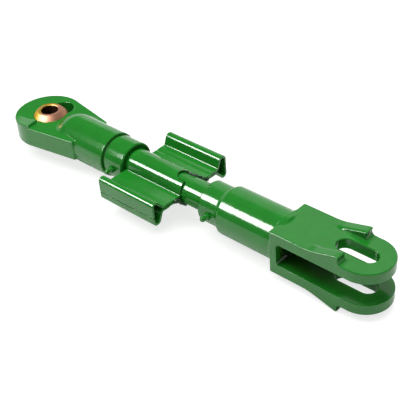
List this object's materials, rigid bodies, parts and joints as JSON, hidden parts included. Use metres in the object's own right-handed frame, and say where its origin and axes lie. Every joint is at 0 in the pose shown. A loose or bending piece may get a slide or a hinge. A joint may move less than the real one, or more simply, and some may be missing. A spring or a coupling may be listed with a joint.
{
  "type": "three-point lift link",
  "caption": "Adjustable lift link: forged eye with swivel ball, screwed spindle turned by a two-wing sheet handle, and forged fork with slotted ears.",
  "frame": {"origin": "centre of the swivel ball's pin bore", "axes": "+Z along the pin bore, +X along the link from the eye to the fork"},
  "size_m": [0.6456, 0.1432, 0.0838],
  "materials": {
    "green_enamel": "glossy green enamel over forged and pressed steel",
    "yellow_zinc": "yellow passivated zinc plate",
    "bronze": "turned bearing bronze",
    "seal_rubber": "nitrile rubber",
    "plain_steel": "oiled steel"
  },
  "bodies": {
    "eye": {"eye_forging": "green_enamel", "retaining_collar": "green_enamel", "collar_seal_ring": "seal_rubber", "collar_bush": "bronze", "thrust_washer_front": "bronze", "thrust_washer_rear": "bronze", "collar_grease_fitting": "green_enamel", "collar_fitting_ball": "plain_steel", "collar_fitting_spring": "plain_steel"},
    "ball": {"swivel_ball": "yellow_zinc"},
    "screw": {"adjusting_spindle": "green_enamel", "handle_upper_stamping": "green_enamel", "handle_lower_stamping": "green_enamel", "handle_weld_beads": "green_enamel", "spindle_stop_ring": "plain_steel"},
    "fork": {"clevis_fork": "green_enamel", "neck_guide_bush": "bronze", "neck_wiper_seal": "seal_rubber", "neck_stop_pin": "green_enamel", "neck_grease_fitting": "green_enamel", "neck_fitting_ball": "plain_steel", "neck_fitting_spring": "plain_steel"}
  },
  "joints": [
    {"name": "ball_tilt", "type": "hinge", "parent": "eye", "child": "ball", "pos_m": [0, 0, 0], "axis": [0, 1, 0], "range_deg": [-20, 20]},
    {"name": "handle_turn", "type": "hinge", "parent": "eye", "child": "screw", "pos_m": [0.15, 0, 0], "axis": [1, 0, 0], "range_deg": [-1080, 2520]},
    {"name": "fork_slide", "type": "slide", "parent": "eye", "child": "fork", "axis": [1, 0, 0], "range_m": [-0.0181, 0.0421]}
  ],
  "couplings": [
    {"joint": "fork_slide", "follows": "handle_turn", "m_per_rad": 0.00095493}
  ]
}
